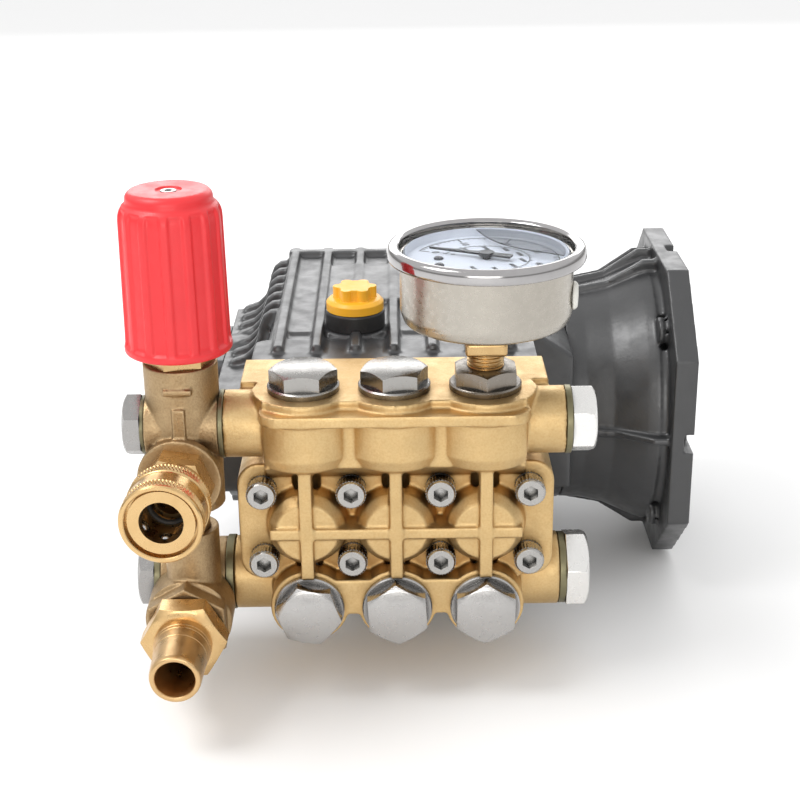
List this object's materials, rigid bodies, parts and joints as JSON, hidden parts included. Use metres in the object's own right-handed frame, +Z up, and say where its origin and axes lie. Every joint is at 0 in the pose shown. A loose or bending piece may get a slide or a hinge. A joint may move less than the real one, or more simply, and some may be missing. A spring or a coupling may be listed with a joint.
{
  "type": "pressure washer pump",
  "caption": "Triplex plunger pump with brass manifold, unloader knob, gauge, quick coupler, hose tail and a motor bell flange.",
  "frame": {"origin": "centre of the motor flange's mating face, on the crankshaft axis", "axes": "+X out of the flange towards the motor, -Y towards the manifold, +Z up"},
  "size_m": [0.2172, 0.2412, 0.1869],
  "materials": {
    "grey_paint": "satin dark grey enamel over a die casting",
    "clear_lens": "clear, polished",
    "dark_steel": "black oxide socket screws",
    "bearing_steel": "ground",
    "black_rubber": "moulded nitrile",
    "forged_steel": "turned and ground",
    "packing": "fabric-reinforced packing with brass retainers",
    "cast_brass": "cast, sand-blasted gold",
    "zinc_steel": "zinc plated",
    "stainless": "ground stainless",
    "white_plastic": "moulded acetal",
    "cap_steel": "turned, satin nickel",
    "dark_nickel": "turned, dark nickel",
    "washer_bronze": "tarnished bonded washer",
    "brown_brass": "sand-blasted, brown",
    "turned_brass": "turned",
    "red_plastic": "moulded, satin gloss",
    "polished_brass": "polished",
    "gauge_steel": "brushed stainless",
    "polished_steel": "polished stainless",
    "dial_white": "matt white print ground",
    "pointer_black": "matt black",
    "black_plastic": "moulded",
    "yellow_plastic": "moulded",
    "rod_bronze": "cast bronze",
    "ceramic": "ground alumina ceramic"
  },
  "bodies": {
    "housing": {"crankcase": "grey_paint", "rear_cover": "grey_paint", "sight_glass": "clear_lens", "bearing_cover": "grey_paint", "cover_screws": "dark_steel", "bell_housing": "grey_paint", "bearing_outer_rings": "bearing_steel", "oil_seals": "black_rubber", "plunger_packings": "packing", "manifold": "cast_brass", "head_screws": "zinc_steel", "valve_seats": "stainless", "valve_cages": "white_plastic", "valve_springs": "stainless", "discharge_caps": "cap_steel", "gauge_cap": "dark_nickel", "suction_caps": "cap_steel", "o_rings": "black_rubber", "port_plugs": "cap_steel", "port_washers": "washer_bronze", "banjo_bolts": "cap_steel", "unloader_body": "brown_brass", "regulating_spring": "stainless", "bonnet_nut": "turned_brass", "coupler_body": "polished_brass", "coupler_balls": "bearing_steel", "coupler_spring": "stainless", "inlet_body": "brown_brass", "inlet_nut": "polished_brass", "inlet_tail": "turned_brass", "gauge_case": "gauge_steel", "gauge_bezel": "polished_steel", "gauge_lens": "clear_lens", "gauge_dial": "dial_white", "gauge_stem": "turned_brass", "oil_filler": "black_plastic"},
    "crank": {"crankshaft": "forged_steel", "bearing_inner_rings": "bearing_steel"},
    "rod_1": {"connecting_rod_1": "rod_bronze"},
    "rod_2": {"connecting_rod_2": "rod_bronze"},
    "rod_3": {"connecting_rod_3": "rod_bronze"},
    "piston_1": {"guide_piston_1": "bearing_steel", "plunger_1": "ceramic"},
    "piston_2": {"guide_piston_2": "bearing_steel", "plunger_2": "ceramic"},
    "piston_3": {"guide_piston_3": "bearing_steel", "plunger_3": "ceramic"},
    "discharge_valve_1": {"discharge_poppet_1": "stainless"},
    "discharge_valve_2": {"discharge_poppet_2": "stainless"},
    "discharge_valve_3": {"discharge_poppet_3": "stainless"},
    "suction_valve_1": {"suction_poppet_1": "stainless"},
    "suction_valve_2": {"suction_poppet_2": "stainless"},
    "suction_valve_3": {"suction_poppet_3": "stainless"},
    "adjuster": {"spring_seat": "turned_brass"},
    "knob": {"knob": "red_plastic", "knob_screw": "zinc_steel"},
    "relief": {"relief_piston": "stainless"},
    "sleeve": {"coupler_sleeve": "polished_brass"},
    "pointer": {"gauge_pointer": "pointer_black"},
    "oil_cap": {"oil_cap": "yellow_plastic"}
  },
  "joints": [
    {"name": "crank_spin", "type": "hinge", "parent": "housing", "child": "crank", "pos_m": [0, 0, 0], "axis": [1, 0, 0], "continuous": true},
    {"name": "rod_1_pivot", "type": "hinge", "parent": "crank", "child": "rod_1", "pos_m": [-0.152, 0.003, 0], "axis": [1, 0, 0], "continuous": true},
    {"name": "rod_2_pivot", "type": "hinge", "parent": "crank", "child": "rod_2", "pos_m": [-0.12, -0.0015, 0.0026], "axis": [1, 0, 0], "continuous": true},
    {"name": "rod_3_pivot", "type": "hinge", "parent": "crank", "child": "rod_3", "pos_m": [-0.088, -0.0015, -0.0026], "axis": [1, 0, 0], "continuous": true},
    {"name": "piston_1_slide", "type": "slide", "parent": "housing", "child": "piston_1", "axis": [0, 1, 0], "range_m": [-0.006, 0]},
    {"name": "piston_2_slide", "type": "slide", "parent": "housing", "child": "piston_2", "axis": [0, 1, 0], "range_m": [-0.0015, 0.0045]},
    {"name": "piston_3_slide", "type": "slide", "parent": "housing", "child": "piston_3", "axis": [0, 1, 0], "range_m": [-0.0015, 0.0045]},
    {"name": "discharge_valve_1_lift", "type": "slide", "parent": "housing", "child": "discharge_valve_1", "axis": [0, 0, 1], "range_m": [0, 0.0022], "stiffness_N_per_m": 300, "springref_m": -0.003, "deforming": ["valve_springs"]},
    {"name": "discharge_valve_2_lift", "type": "slide", "parent": "housing", "child": "discharge_valve_2", "axis": [0, 0, 1], "range_m": [0, 0.0022], "stiffness_N_per_m": 300, "springref_m": -0.003},
    {"name": "discharge_valve_3_lift", "type": "slide", "parent": "housing", "child": "discharge_valve_3", "axis": [0, 0, 1], "range_m": [0, 0.0022], "stiffness_N_per_m": 300, "springref_m": -0.003},
    {"name": "suction_valve_1_lift", "type": "slide", "parent": "housing", "child": "suction_valve_1", "axis": [0, -1, 0], "range_m": [0, 0.0022], "stiffness_N_per_m": 300, "springref_m": -0.003},
    {"name": "suction_valve_2_lift", "type": "slide", "parent": "housing", "child": "suction_valve_2", "axis": [0, -1, 0], "range_m": [0, 0.0022], "stiffness_N_per_m": 300, "springref_m": -0.003},
    {"name": "suction_valve_3_lift", "type": "slide", "parent": "housing", "child": "suction_valve_3", "axis": [0, -1, 0], "range_m": [0, 0.0022], "stiffness_N_per_m": 300, "springref_m": -0.003},
    {"name": "knob_turn", "type": "hinge", "parent": "adjuster", "child": "knob", "pos_m": [-0.1947, -0.126, 0.09], "axis": [0, 0, 1], "range_deg": [-1080, 720]},
    {"name": "adjuster_travel", "type": "slide", "parent": "housing", "child": "adjuster", "axis": [0, 0, 1], "range_m": [-0.0045, 0.003], "deforming": ["regulating_spring"]},
    {"name": "relief_lift", "type": "slide", "parent": "housing", "child": "relief", "axis": [0, 0, 1], "range_m": [0, 0.002], "stiffness_N_per_m": 6000, "springref_m": -0.003},
    {"name": "sleeve_slide", "type": "slide", "parent": "housing", "child": "sleeve", "axis": [0.0523, 0.9986, 0], "range_m": [0, 0.005], "stiffness_N_per_m": 800, "springref_m": -0.002, "deforming": ["coupler_spring"]},
    {"name": "pointer_sweep", "type": "hinge", "parent": "housing", "child": "pointer", "pos_m": [-0.088, -0.126, 0.0965], "axis": [0, 0, 1], "range_deg": [-270, 0], "stiffness_Nm_per_rad": 0.0005},
    {"name": "oil_cap_turn", "type": "hinge", "parent": "housing", "child": "oil_cap", "pos_m": [-0.135, -0.057, 0.06], "axis": [0, 0, 1], "range_deg": [0, 90]}
  ],
  "couplings": [
    {"joint": "rod_1_pivot", "follows": "crank_spin", "ratio": -1},
    {"joint": "rod_2_pivot", "follows": "crank_spin", "ratio": -1},
    {"joint": "rod_3_pivot", "follows": "crank_spin", "ratio": -1},
    {"joint": "adjuster_travel", "follows": "knob_turn", "m_per_rad": 0.00023873}
  ]
}
